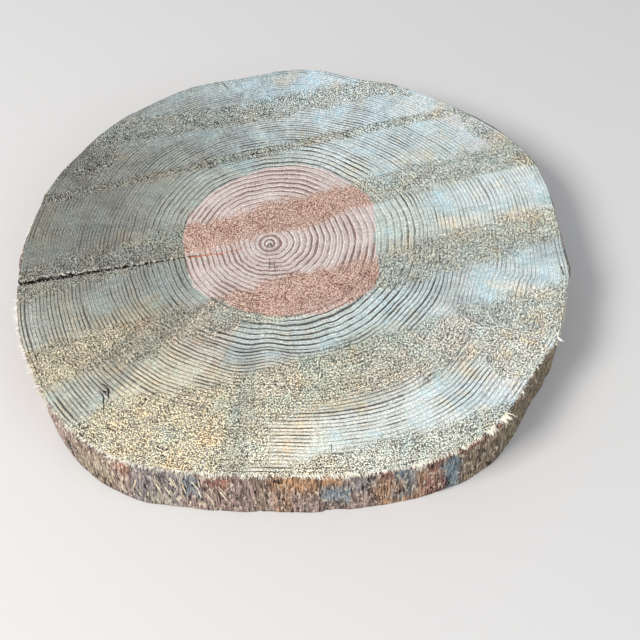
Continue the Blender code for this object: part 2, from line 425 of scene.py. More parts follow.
def oval(x, y, at_x, at_y, half_length, half_width, bearing=0.0):
    """How deep each point lies in a soft oval, 0 to 1."""
    turn = math.radians(bearing)
    along = (x - at_x) * math.cos(turn) + (y - at_y) * math.sin(turn)
    across = (y - at_y) * math.cos(turn) - (x - at_x) * math.sin(turn)
    return np.exp(-((along / half_length) ** 2 + (across / half_width) ** 2))


def within(bearing, distance, wedge, soft, blur):
    """How deep each point lies in a wedge, 0 to 1, with its ends and its sides softened."""
    from_bearing, to_bearing, near, far = wedge
    middle, half = (from_bearing + to_bearing) / 2, (to_bearing - from_bearing) / 2
    off = np.abs(np.mod(bearing - middle + 180.0, 360.0) - 180.0)
    sides = 1.0 - step_up(off, half - blur, half + blur) if half < 179.0 else 1.0
    return sides * step_up(distance, near - soft, near + soft) * (
        1.0 - step_up(distance, far - soft, far + soft))


def tone(red, green, blue):
    """A colour as a screen gives it, 0 to 255, in the shader's own linear light."""
    shares = [channel / 255.0 for channel in (red, green, blue)]
    linear = [share / 12.92 if share < 0.04 else ((share + 0.055) / 1.055) ** 2.4
              for share in shares]
    return (*linear, 1.0)


def light(name):
    """One of the wood's colours in linear light."""
    return np.array(tone(*COLOURS[name])[:3])


def stained(ground, stains, bearing, distance, soft, blur):
    """The wood's colour at each point, with the stains laid over the ground one by one."""
    colour = np.tile(light(ground), (len(bearing), 1))
    for *wedge, name, strength in stains:
        share = strength * within(bearing, distance, wedge, soft, blur)
        colour += share[:, None] * (light(name) - colour)
    return colour


def in_front(x, y, bearing):
    """How far points lie in front of the middle, across a saw line of that bearing."""
    turn = math.radians(bearing)
    return x * math.sin(turn) - y * math.cos(turn)


def torn_by_saw(x, y, bands, patches):
    """How roughly the saw tore the wood at each point, 0 to 1."""
    wobble = 7.0 * drift(x / 90.0, y / 90.0, 2.0) + 5.0 * drift(x / 25.0, y / 25.0, 7.0)
    torn = np.zeros_like(x)
    for *place, most in patches:
        torn = np.maximum(torn, most * step_up(oval(x + wobble, y + wobble, *place), 0.25, 0.5))
    for place, half_width, bearing, most in bands:
        waver = wobble * min(1.0, half_width / 16.0)
        away = (in_front(x, y, bearing) - place + waver) / half_width
        torn = np.maximum(torn, most * np.exp(-np.abs(away) ** 2.6 * 0.7))
    return torn


def wall_relief(bearing, height):
    """Millimetres by which the wall stands out: fibre ridges, and scraps of inner bark."""
    turn = np.radians(bearing) + GRAIN_LEAN * height / THICKNESS
    x, y = np.cos(turn) / math.tau, np.sin(turn) / math.tau
    ridge = drift(x * RIDGES_ROUND, y * RIDGES_ROUND, height / RIDGE_LENGTH)
    fine = drift(x * FINE_RIDGES_ROUND, y * FINE_RIDGES_ROUND, height / 40.0)
    scrap = drift(x * BARK_SCRAPS_ROUND + BARK_SCRAP_PLACE[0],
                  y * BARK_SCRAPS_ROUND + BARK_SCRAP_PLACE[1], height / BARK_SCRAP_LENGTH)
    proud = BARK_SCRAP_HEIGHT * step_up(scrap, BARK_SCRAP_LEVEL - 0.03, BARK_SCRAP_LEVEL + 0.03)
    relief = RIDGE_HEIGHT * ridge + FINE_RIDGE_HEIGHT * fine + proud
    for centre, half_angle, at_height, half_height, depth in EDGE_CHIPS:
        off = (np.mod(bearing - centre + 180.0, 360.0) - 180.0) / half_angle
        away = off**2 + ((height - at_height) / half_height) ** 2
        relief = relief - depth * (1.0 - step_up(away, 0.5, 1.3))
    for centre, at_height, half_height, depth in WALL_CRACKS:
        lean = centre - math.degrees(GRAIN_LEAN) * (height - at_height) / THICKNESS
        off = np.abs(np.mod(bearing - lean + 180.0, 360.0) - 180.0) / 0.45
        inside = (1.0 - step_up(off, 0.2, 1.0)) * (1.0 - step_up(
            np.abs(height - at_height) / half_height, 0.7, 1.0))
        relief = relief - depth * inside
    return relief


def past_ledge(x, y):
    """How far points lie in front of the ledge between the saw's two passes."""
    return in_front(x, y, LEDGE_BEARING) - LEDGE_IN_FRONT + 2.5 * drift(x / 16.0, y / 16.0, 3.0)


def saw_level(x, y, torn):
    """Height of the sawn face: the ledge, the saw's waves, and torn grain."""
    front = past_ledge(x, y)
    height = THICKNESS - (THICKNESS - FRONT_PASS_HEIGHT) * step_up(front, -1.5, 1.5)
    height += SAW_WAVE * np.sin(math.tau * front / SAW_WAVE_LENGTH)
    rough = drift(x / 2.3, y / 2.3, 1.0) + 0.6 * drift(x / 6.0, y / 6.0, 4.0)
    return height + torn * (TORN_RELIEF * rough - TORN_SINK)


def ring_groove(ring, torn):
    """Depth of the groove that the saw left in the soft wood at each ring's start."""
    off_line = 2.0 * np.abs(np.mod(ring, 1.0) - 0.5)
    return RING_GROOVE * off_line * step_up(ring, 0.5, 2.0) * (1.0 - 0.5 * torn)


def face_colour(x, y, bearing, reach):
    """The sawn face's stain, its ledge, painted shade along the check, and the broad tints over
    them, with painted shade on the left and painted light on the right.
    """
    at_bearing = bearing + 0.7 * drift(x / 26.0, y / 26.0, 9.0)
    turn = np.radians(bearing)
    ray_ends = RAY_ENDS * drift(14.0 * np.cos(turn), 14.0 * np.sin(turn), 6.0)
    at_reach = reach + ray_ends + STAIN_WANDER * drift(x / 18.0, y / 18.0, 11.0)
    colour = stained("sapwood", FACE_STAINS, at_bearing, at_reach, *FACE_STAIN_EDGES)
    from_ledge = (past_ledge(x, y) + 1.5) / LEDGE_STAIN_HALF_WIDTH
    along_ledge = LEDGE_STAIN * np.exp(-from_ledge**2)
    colour += along_ledge[:, None] * (light("ochre") * 0.6 - colour)
    # Painted shade over the check's back lip, beside its gap
    from_check = (bearing - CHECK_BEARING) * np.radians(reach) + 4.0
    lip_shade = np.exp(-((from_check / CHECK_LIP_SHADE_HALF_WIDTH) ** 2))
    lip_shade *= CHECK_LIP_SHADE * step_up(reach, 90.0, 190.0)
    colour -= lip_shade[:, None] * colour
    # The broad tints, with painted shade on the left and painted light on the right
    for *place, name, strength in BROAD_LIGHT_SHADE_AND_TINTS:
        colour += (strength * oval(x, y, *place))[:, None] * (light(name) - colour)
    return colour


def wall_colour(x, y, around, height):
    """The wall's colour patches, whose sides lean and waver with the grain."""
    lean = around + 1.6 * drift(x / 9.0, y / 9.0, height / 40.0)
    lean += 0.5 * drift(x / 3.0, y / 3.0, height / 25.0)
    at_height = height + 12.0 * drift(x / 4.0, y / 4.0, 1.0)
    return stained("mauve", WALL_STAINS, lean, at_height, *WALL_STAIN_EDGES)


def line_strength(bearing, reach):
    """How clearly the ring lines show at each point, 0 to 1."""
    shows = np.full_like(reach, FAINT_LINES)
    for *wedge, strength in LINES:
        shows += within(bearing, reach, wedge, *LINES_EDGES) * (strength - shows)
    return shows


def foot_stands_out(around, height):
    """How far the wall stands outside the sawn edge as it flares towards its foot."""
    return round_curve(FOOT, around) * (1.0 - height / THICKNESS) ** FLARE_POWER


def at_the_rim(x, y, ring, height, on_wall):
    """Moves the points of the wall and of the two sawn edges out to the wall's own surface."""
    around = np.degrees(np.arctan2(y, x))
    ragged = 0.7 * drift(x / 3.0, y / 3.0, 6.0) + 0.5 * drift(x / 11.0, y / 11.0, 8.0)
    stands_out = foot_stands_out(around, height)
    stands_out += np.where(on_wall, wall_relief(around, height), 0.0)
    stands_out += np.where(on_wall, 0.0, EDGE_RAGGEDNESS * ragged - EDGE_WEAR)
    stands_out = np.where(ring > RINGS - 0.1, stands_out, 0.0)
    x = x + stands_out * np.cos(np.radians(around))
    y = y + stands_out * np.sin(np.radians(around))
    return x, y, around


def shape_slab(places):
    """Real places in millimetres for the blank's points, and what the wood is like at each."""
    ring = np.hypot(places[:, 0], places[:, 1])
    ring = np.round(ring * 4.0) / 4.0
    height = places[:, 2].astype(float)
    column = np.round(np.arctan2(places[:, 1], places[:, 0]) * COLUMNS / math.tau)
    on_face, on_underside = height > THICKNESS - 0.1, height < 0.1
    on_wall = ~on_face & ~on_underside

    bearing = column_bearings(ring, height, column)
    turn = np.radians(bearing)
    reach = ring_distance(ring, bearing)
    x, y = PITH[0] + reach * np.cos(turn), PITH[1] + reach * np.sin(turn)

    x, y, around = at_the_rim(x, y, ring, height, on_wall)
    torn = np.where(on_underside, torn_by_saw(x, y, UNDERSIDE_BANDS, ()),
                    torn_by_saw(x, y, SAW_BANDS, TORN_PATCHES))
    sawn = saw_level(x, y, torn) - ring_groove(ring, torn)
    z = np.where(on_face, sawn, height)
    near_edge = step_up(height, 55.0, THICKNESS)
    z = np.where(on_wall, height + near_edge * (sawn - THICKNESS - 0.3), z)

    face = face_colour(x, y, bearing, reach)
    face += np.where(on_underside, 1.0 - UNDERSIDE_STAIN, 0.0)[:, None] * (light("sapwood") - face)
    wall = wall_colour(x, y, around, height)

    x, y, z = open_check(x, y, z, ring, height, column)
    looks = {
        "growth": ring,
        "heart": np.where(on_wall, -50.0, round_curve(HEART_EDGE, bearing) - reach),
        "torn": np.where(on_wall, 0.0, torn),
        "lines": line_strength(bearing, reach),
        "stain": np.where(on_wall[:, None], wall, face),
    }
    return np.stack((x, y, z), axis=-1), looks


def open_check(x, y, z, ring, height, column):
    """Sinks the columns between the check's lips to its root, which slopes down from its tip."""
    side = np.abs(column)
    mouth = LEFT_REACH[-1]
    reach = np.interp(ring, LEFT_RINGS, LEFT_REACH)
    face_run, underside_run = mouth - CHECK_TIP, mouth - CHECK_UNDERSIDE_TIP
    run = np.where(height > THICKNESS - 0.1, reach - CHECK_TIP,
                   np.where(height < 0.1, face_run + THICKNESS + mouth - reach,
                            face_run + THICKNESS - height))
    run = run / (face_run + THICKNESS + underside_run)
    inside = (side < CHECK_WALL_COLUMNS) & (run > 0.0) & (run < 1.0)
    deep = np.where(inside, (CHECK_WALL_COLUMNS - side) / CHECK_WALL_COLUMNS, 0.0)
    root = CHECK_TIP + (CHECK_UNDERSIDE_TIP - CHECK_TIP) * run
    turn = math.radians(CHECK_BEARING)
    root_x, root_y = PITH[0] + root * math.cos(turn), PITH[1] + root * math.sin(turn)
    root_z = FRONT_PASS_HEIGHT * (1.0 - run)
    return (x + (root_x - x) * deep, y + (root_y - y) * deep, z + (root_z - z) * deep)


# The slab's map for baked looks: the sawn face takes most of it, the wall runs in three
# strips, and the underside and the check's walls have a square each
FACE_SHARE = 0.66
MAP_GAP = 0.006
WALL_STRIPS = 3


def lay_out_map(mesh, looks_at):
    """Gives the slab its own map, from the finished points, in metres."""
    corner_vertex = np.empty(len(mesh.loops), np.int32)
    mesh.loops.foreach_get("vertex_index", corner_vertex)
    corner_face = np.repeat(np.arange(len(mesh.polygons)),
                            [face.loop_total for face in mesh.polygons])
    wears = np.empty(len(mesh.polygons), np.int32)
    mesh.polygons.foreach_get("material_index", wears)
    centres = np.array([face.center for face in mesh.polygons])
    place = looks_at[corner_vertex]
    centre, wears = centres[corner_face], wears[corner_face]

    low, high = looks_at.min(axis=0), looks_at.max(axis=0)
    flat = (place[:, :2] - low[:2]) / max(high[:2] - low[:2])
    rest = 1.0 - FACE_SHARE - MAP_GAP
    layout = flat * (FACE_SHARE - MAP_GAP)
    below = flat * (rest - MAP_GAP) + np.array((FACE_SHARE + MAP_GAP, 0.0))
    layout = np.where((centre[:, 2] < THICKNESS * MM / 2)[:, None], below, layout)

    centre_turn = np.mod(np.arctan2(centre[:, 1], centre[:, 0]) / math.tau, 1.0)
    turn = np.arctan2(place[:, 1], place[:, 0]) / math.tau
    turn = turn + np.round(centre_turn - turn)
    strip = np.minimum(np.floor(centre_turn * WALL_STRIPS), WALL_STRIPS - 1)
    strip_height = (1.0 - FACE_SHARE) / WALL_STRIPS
    up = place[:, 2] / (THICKNESS * MM)
    wall = np.stack((MAP_GAP + (turn * WALL_STRIPS - strip) * (1.0 - 2 * MAP_GAP),
                     FACE_SHARE + (strip + 0.03 + up * 0.92) * strip_height), axis=-1)
    layout = np.where((wears == BARE_WALL)[:, None], wall, layout)

    from_pith = np.hypot(place[:, 0] - PITH[0] * MM, place[:, 1] - PITH[1] * MM) / max(high[:2])
    sideways = np.stack((FACE_SHARE + MAP_GAP + rest * 0.9 * from_pith,
                         FACE_SHARE / 2 + MAP_GAP + up * 0.1), axis=-1)
    layout = np.where((wears == CHECK_WALL)[:, None], sideways, layout)
    mesh.uv_layers.new(name="OFBake").data.foreach_set("uv", layout.astype(np.float32).ravel())


slab_mesh = mesh_from(turned_blank(), "wood_cookie_surface")
blank_places = np.empty(len(slab_mesh.vertices) * 3, np.float32)
slab_mesh.vertices.foreach_get("co", blank_places)
slab_places, slab_looks = shape_slab(blank_places.reshape(-1, 3))
slab_middle = (slab_places.min(axis=0) + slab_places.max(axis=0)) / 2
slab_shift = (np.array(cad_box[0]) + np.array(cad_box[1])) / 2 / MM - slab_middle
slab_shift[2] = 0.0
slab_places = (slab_places + slab_shift) * MM
slab_mesh.vertices.foreach_set("co", slab_places.astype(np.float32).ravel())
for look, values in slab_looks.items():
    if look == "stain":
        values = np.column_stack((values, np.ones(len(values))))
        layer = slab_mesh.attributes.new(look, "FLOAT_COLOR", "POINT")
        layer.data.foreach_set("color", values.astype(np.float32).ravel())
    else:
        layer = slab_mesh.attributes.new(look, "FLOAT", "POINT")
        layer.data.foreach_set("value", values.astype(np.float32))
slab_mesh.update()
lay_out_map(slab_mesh, slab_places)
slab = show("wood_cookie_surface", slab_mesh)


def feed(tree, inputs, values):
    """Gives each named input its value, or links it to another node's output."""
    for socket, value in dict(values).items():
        if isinstance(value, bpy.types.NodeSocket):
            tree.links.new(value, inputs[socket])
        else:
            inputs[socket].default_value = value


def add_node(tree, kind, values=(), **settings):
    made = tree.nodes.new("ShaderNode" + kind)
    for name, value in settings.items():
        setattr(made, name, value)
    feed(tree, made.inputs, values)
    return made


def calculate(tree, operation, *values):
    return add_node(tree, "Math", enumerate(values), operation=operation).outputs[0]


def times(tree, first, second):
    return calculate(tree, "MULTIPLY", first, second)


def scaled(tree, value, by, plus):
    """by times the value, plus the last."""
    return calculate(tree, "MULTIPLY_ADD", value, by, plus)


def vectors(tree, operation, *values):
    """Arithmetic on places and directions. A length or a dot product is in Value."""
    return add_node(tree, "VectorMath", enumerate(values), operation=operation).outputs


def blend(tree, share, first, second, way="MIX"):
    """first with a share of second laid over it."""
    made = add_node(tree, "Mix", {0: share, 6: first, 7: second}, data_type="RGBA", blend_type=way)
    return made.outputs[2]


def between(tree, value, low, high):
    """0 at low, 1 at high, and smooth between."""
    made = add_node(tree, "MapRange", {0: value, 1: low, 2: high}, interpolation_type="SMOOTHSTEP")
    return made.outputs[0]


def clouds(tree, coordinates, scale, detail=2.0, roughness=0.5):
    made = add_node(tree, "TexNoise", {"Vector": coordinates, "Scale": scale,
                                       "Detail": detail, "Roughness": roughness})
    return made.outputs["Fac"]


def grey_of(tree, value):
    """A grey as light as the value."""
    return add_node(tree, "CombineColor", {0: value, 1: value, 2: value}).outputs[0]


def stretched(tree, coordinates, scale):
    made = add_node(tree, "Mapping", {"Vector": coordinates, "Scale": scale})
    return made.outputs[0]


def own_look(tree, name):
    """One of the slab's own values."""
    return add_node(tree, "Attribute", attribute_name=name).outputs["Fac"]


def own_colour(tree, name):
    """One of the slab's own colours."""
    return add_node(tree, "Attribute", attribute_name=name).outputs["Color"]


def new_effect(name, inputs, outputs):
    """An empty node group with named sockets, and its input and output nodes."""
    tree = bpy.data.node_groups.new(name, "ShaderNodeTree")
    for socket, kind in inputs.items():
        tree.interface.new_socket(socket, in_out="INPUT", socket_type="NodeSocket" + kind)
    for socket, kind in outputs.items():
        tree.interface.new_socket(socket, in_out="OUTPUT", socket_type="NodeSocket" + kind)
    given = tree.nodes.new("NodeGroupInput").outputs
    result = tree.nodes.new("NodeGroupOutput").inputs
    return tree, given, result


def use_effect(tree, effect, sockets):
    made = tree.nodes.new("ShaderNodeGroup")
    made.node_tree = effect
    feed(tree, made.inputs, sockets)
    return made.outputs


def new_material(name, roughness):
    """A material with a plain shader, and the tree, shader and object coordinates to build on."""
    material = bpy.data.materials.new(name)
    material.use_nodes = True
    tree = material.node_tree
    shader = tree.nodes["Principled BSDF"]
    shader.inputs["Roughness"].default_value = roughness
    shader.inputs["Specular IOR Level"].default_value = 0.25
    coordinates = add_node(tree, "TexCoord").outputs["Object"]
    return material, tree, shader, coordinates


def raise_surface(tree, shader, height, distance):
    bump = add_node(tree, "Bump", {"Height": height, "Distance": distance, "Strength": 1.0})
    tree.links.new(bump.outputs[0], shader.inputs["Normal"])


def growth_ring_effect():
    """The dark latewood line that closes each ring, and the early wood's edge past it that takes a
    painted highlight. No two rings are as wide or as dark.
    """
    tree, given, result = new_effect(
        "growth_rings", {"Ring": "Float", "Coordinates": "Vector", "Raggedness": "Float"},
        {"Line": "Float", "Latewood": "Float", "Early Highlight": "Float"})
    slow = clouds(tree, given["Coordinates"], 60.0, 3.0)
    quick = clouds(tree, given["Coordinates"], 420.0, 2.0)
    shake = scaled(tree, slow, 0.30, -0.15)
    jitter = times(tree, calculate(tree, "SUBTRACT", quick, 0.5), given["Raggedness"])
    ring = calculate(tree, "ADD", calculate(tree, "ADD", given["Ring"], shake), jitter)
    whole = calculate(tree, "FLOOR", calculate(tree, "ADD", ring, 0.5))
    off = calculate(tree, "SUBTRACT", ring, whole)
    own = add_node(tree, "TexWhiteNoise", {"W": whole}, noise_dimensions="1D")
    broad = scaled(tree, own.outputs["Value"], 0.16, 0.15)
    outside = between(tree, off, times(tree, broad, 0.7), 0.0)
    inside = between(tree, off, times(tree, broad, -2.0), times(tree, broad, -0.4))
    dark = add_node(tree, "TexWhiteNoise", {"W": calculate(tree, "ADD", whole, 0.37)},
                    noise_dimensions="1D").outputs["Value"]
    fade = between(tree, clouds(tree, given["Coordinates"], 26.0, 4.0), 0.36, 0.58)
    gaps = between(tree, clouds(tree, given["Coordinates"], 150.0, 3.0, 0.6), 0.36, 0.54)
    depth = times(tree, scaled(tree, dark, 0.60, 0.40), scaled(tree, fade, 0.7, 0.3))
    depth = times(tree, depth, scaled(tree, gaps, 0.40, 0.60))
    line = times(tree, times(tree, outside, inside), depth)
    tree.links.new(line, result["Line"])
    tree.links.new(between(tree, off, -0.48, -0.02), result["Latewood"])
    early_highlight = times(tree, between(tree, off, 0.05, 0.11), between(tree, off, 0.30, 0.14))
    tree.links.new(early_highlight, result["Early Highlight"])
    return tree


def torn_grain_effect():
    """Wood torn across its fibres: pits with painted shadow between pale tufts with painted
    highlights, a millimetre or two wide.
    """
    tree, given, result = new_effect(
        "torn_grain", {"Coordinates": "Vector", "Cells": "Float"},
        {"Pit Shadows": "Float", "Tuft Highlights": "Float", "Height": "Float"})
    grain = clouds(tree, given["Coordinates"], times(tree, given["Cells"], 1.4), 2.0, 0.6)
    crowded = clouds(tree, given["Coordinates"], 60.0, 2.0)
    cells = add_node(tree, "TexVoronoi", {"Vector": given["Coordinates"],
                                          "Scale": given["Cells"]}).outputs["Distance"]
    cells = scaled(tree, grain, 0.5, cells)
    level = scaled(tree, crowded, 0.26, 0.625)
    tree.links.new(between(tree, cells, level, calculate(tree, "SUBTRACT", level, 0.05)),
                   result["Pit Shadows"])
    tree.links.new(between(tree, grain, 0.47, 0.53), result["Tuft Highlights"])
    tree.links.new(grain, result["Height"])
    return tree


def long_fibre_effect():
    """Wood seen along its fibres: fine streaks up the grain, with short splits that are painted
    dark as shade.
    """
    tree, given, result = new_effect(
        "long_fibres", {"Coordinates": "Vector"},
        {"Streaks": "Float", "Fine": "Float", "Splits": "Float"})
    drawn_out = stretched(tree, given["Coordinates"], (1.0, 1.0, 0.09))
    tree.links.new(clouds(tree, drawn_out, 130.0, 3.0, 0.6), result["Streaks"])
    fine = clouds(tree, drawn_out, 620.0, 3.0, 0.7)
    tree.links.new(fine, result["Fine"])
    line = calculate(tree, "ABSOLUTE", calculate(
        tree, "SUBTRACT", clouds(tree, drawn_out, 210.0, 2.0), 0.5))
    here = between(tree, clouds(tree, given["Coordinates"], 45.0, 2.0), 0.50, 0.60)
    split = times(tree, between(tree, line, 0.026, 0.008), here)
    tree.links.new(split, result["Splits"])
    return tree


def short_crack_effect():
    """A short dark crack between two points, which wanders a little."""
    tree, given, result = new_effect(
        "short_crack", {"Coordinates": "Vector", "From": "Vector", "To": "Vector",
                        "Half Width": "Float"}, {"Inside": "Float"})
    bent = add_node(tree, "TexNoise", {"Vector": given["Coordinates"], "Scale": 160.0})
    bent = vectors(tree, "SUBTRACT", bent.outputs["Color"], (0.5, 0.5, 0.5))[0]
    place = vectors(tree, "MULTIPLY_ADD", bent, (0.005, 0.005, 0.0), given["Coordinates"])[0]
    reach = vectors(tree, "SUBTRACT", place, given["From"])[0]
    run = vectors(tree, "SUBTRACT", given["To"], given["From"])[0]
    along = vectors(tree, "DOT_PRODUCT", reach, run)["Value"]
    square = vectors(tree, "DOT_PRODUCT", run, run)["Value"]
    share = add_node(tree, "Clamp", {0: calculate(tree, "DIVIDE", along, square)}).outputs[0]
    nearest = add_node(tree, "VectorMath", {0: run, "Scale": share}, operation="SCALE")
    away = vectors(tree, "SUBTRACT", reach, nearest.outputs[0])[0]
    flat = vectors(tree, "MULTIPLY", away, (1.0, 1.0, 0.0))[0]
    gap = vectors(tree, "LENGTH", flat)["Value"]
    inside = between(tree, gap, times(tree, given["Half Width"], 1.3),
                     times(tree, given["Half Width"], 0.5))
    tree.links.new(inside, result["Inside"])
    return tree


growth_rings = growth_ring_effect()
torn_grain = torn_grain_effect()
long_fibres = long_fibre_effect()
short_crack = short_crack_effect()

# The heart's colours, as cut clean and as torn, with the painted shadow of its pits and the
# painted highlight of its tufts
HEART_CLEAN = tone(196, 190, 190)
HEART_TORN = tone(230, 184, 160)
HEART_PIT_SHADOW = tone(122, 66, 50)
HEART_TUFT_HIGHLIGHT = tone(254, 232, 216)
# Its ring lines' dark: the latewood's own, with the groove's shade painted in
HEART_LATEWOOD_GROOVE_SHADE = tone(92, 48, 48)

# The sapwood's painted shadow in pits, painted highlight on tufts, ring lines, painted crack shade
# and resin
PIT_SHADOW = tone(46, 38, 30)
TUFT_HIGHLIGHT = tone(252, 252, 244)
# The ring lines' dark: the latewood's own, with the groove's shade painted in
LATEWOOD_GROOVE_SHADE = tone(44, 36, 34)
CRACK_SHADE = tone(44, 40, 40)
RESIN = tone(186, 108, 66)

# Tints that the stain is multiplied by: two for its blotches, one where the saw tore it, and
# one that lifts it to the painted highlight next to a ring line
WARMER = (1.19, 1.00, 0.82, 1.0)
COOLER = (0.84, 0.99, 1.07, 1.0)
TORN_TINT = (1.20, 1.14, 1.04, 1.0)
HIGHLIGHT_LIFT = (2.05, 2.05, 1.98, 1.0)

# How strongly each detail of the sawn face shows, the speckle's cells in a metre, and the
# depth of the finest relief in metres
TUFT_HIGHLIGHT_SHARE = 0.42
LINE_STRENGTH = 2.5
EARLY_HIGHLIGHT_STRENGTH = 0.95
LATEWOOD_SHADE = 0.20
RAY_STRENGTH = 0.55
SAW_MARK_STRENGTH = 0.55
SPECKLE_CELLS = 680.0
FACE_RELIEF = 0.0024

# Short cracks and insect marks on the sawn face, painted dark with shade: two ends and half the
# width, in millimetres
FACE_CRACKS = (
    (-197, -195, -193, -199, 0.6), (-193, -199, -191, -205, 0.8), (-191, -205, -190, -218, 0.7),
    (-196, -186, -189, -190, 0.6), (-189, -190, -187, -195, 0.9), (-187, -195, -187, -202, 0.8),
    (-187, -202, -187, -210, 0.45), (-192, -195, -189, -196, 0.8), (-210, -245, -207, -249, 0.9),
    (-205, -239, -206, -246, 0.5), (40, -258, 40, -270, 0.4), (40, -269, 50, -269, 0.3),
    (149, -245, 152, -255, 0.5), (185, -221, 186, -227, 0.45), (-95, 271, -86, 258, 0.4),
    (296, -30, 297, -42, 0.6), (-27, -20, -27, -33, 0.35), (-22, -21, -21, -36, 0.35),
    (-27, -27, -21, -27, 0.3), (-31, -1, -28, 4, 0.35), (-28, 4, -24, -1, 0.35),
    (-30, 1, -25, 1, 0.3),
)

# The check runs on into the heart as a thin line of resin
RESIN_LINE = ((-116, -17, -100, -14, 0.9), (-100, -14, -80, -11, 0.8), (-78, -10, -58, -4, 0.5))


def cracks_inside(tree, coordinates, cracks):
    """1 inside any of the cracks."""
    inside = None
    for from_x, from_y, to_x, to_y, half_width in cracks:
        crack = use_effect(tree, short_crack, {
            "Coordinates": coordinates, "From": (from_x * MM, from_y * MM, 0.0),
            "To": (to_x * MM, to_y * MM, 0.0), "Half Width": half_width * MM})["Inside"]
        inside = crack if inside is None else calculate(tree, "MAXIMUM", inside, crack)
    return inside


def rays_and_saw_marks(tree, coordinates, growth):
    """Noise drawn out along the rays, and noise drawn out along the saw's cut."""
    from_pith = add_node(tree, "Mapping", {"Vector": coordinates, "Scale": (1.0, 1.0, 0.0),
                                           "Location": (-PITH[0] * MM, -PITH[1] * MM, 0.0)})
    outward = vectors(tree, "NORMALIZE", from_pith.outputs[0])[0]
    round_pith = vectors(tree, "MULTIPLY", outward, (75.0, 75.0, 0.0))[0]
    level = add_node(tree, "CombineXYZ", {"Z": times(tree, growth, 0.22)}).outputs[0]
    rays = clouds(tree, vectors(tree, "ADD", round_pith, level)[0], 1.0, 5.0, 0.7)
    turned = add_node(tree, "Mapping", {"Vector": coordinates, "Rotation": (
        0.0, 0.0, -math.radians(LEDGE_BEARING))}).outputs[0]
    saw_marks = clouds(tree, stretched(tree, turned, (0.10, 1.0, 1.0)), 330.0, 5.0, 0.8)
    return rays, saw_marks


def ground_colour(tree, coordinates, torn, in_heart):
    """The stain, with its painted light and shade, and the heart before ring lines and speckle,
    warmer and cooler in blotches.
    """
    wood = blend(tree, torn, own_colour(tree, "stain"), TORN_TINT, "MULTIPLY")
    mottle = clouds(tree, coordinates, 26.0, 4.0, 0.7)
    wood = blend(tree, between(tree, mottle, 0.52, 0.68), wood, WARMER, "MULTIPLY")
    wood = blend(tree, between(tree, mottle, 0.48, 0.32), wood, COOLER, "MULTIPLY")
    return blend(tree, in_heart, wood, blend(tree, torn, HEART_CLEAN, HEART_TORN))


def streaked(tree, wood, share, streaks):
    """Wood lightened and darkened along streaks."""
    return blend(tree, share, wood, scaled(tree, streaks, 1.3, -0.15), "OVERLAY")


def ring_lines(tree, wood, rings, shows, in_heart):
    """Draws each ring's dark line, latewood with the groove's shade painted in, and a painted
    highlight on the early wood past it. Also gives that highlight's pale tone.
    """
    line_dark = blend(tree, in_heart, LATEWOOD_GROOVE_SHADE, HEART_LATEWOOD_GROOVE_SHADE)
    line_colour = blend(tree, 1.0, wood, line_dark, "MULTIPLY")
    late = times(tree, times(tree, rings["Latewood"], shows), LATEWOOD_SHADE)
    wood = blend(tree, late, wood, line_colour)
    line = times(tree, times(tree, rings["Line"], shows), LINE_STRENGTH)
    wood = blend(tree, calculate(tree, "MINIMUM", line, 1.0), wood, line_colour)
    pale = blend(tree, TUFT_HIGHLIGHT_SHARE, blend(tree, 1.0, wood, HIGHLIGHT_LIFT, "MULTIPLY"), TUFT_HIGHLIGHT)
    # Painted highlight on the early wood's edge, next to the line
    early_highlight = times(tree, times(tree, rings["Early Highlight"], shows), EARLY_HIGHLIGHT_STRENGTH)
    return blend(tree, early_highlight, wood, pale), pale


def speckled(tree, wood, pale, grain, latewood, torn, in_heart):
    """Wood with painted highlights on its tufts and painted shadows in its pits, most where the
    saw tore and on the latewood.
    """
    # Painted highlight on the tufts and painted shadow in the pits
    tuft_highlights = times(tree, grain["Tuft Highlights"], scaled(tree, torn, 0.52, 0.46))
    pit_shadows = times(tree, grain["Pit Shadows"], scaled(tree, torn, 0.66, 0.32))
    pit_shadows = times(tree, pit_shadows, scaled(tree, latewood, 0.50, 0.80))
    pit_shadow_colour = blend(tree, 1.0, wood, PIT_SHADOW, "MULTIPLY")
    wood = blend(tree, tuft_highlights, wood, blend(tree, in_heart, pale, HEART_TUFT_HIGHLIGHT))
    return blend(tree, pit_shadows, wood, blend(tree, in_heart, pit_shadow_colour, HEART_PIT_SHADOW))


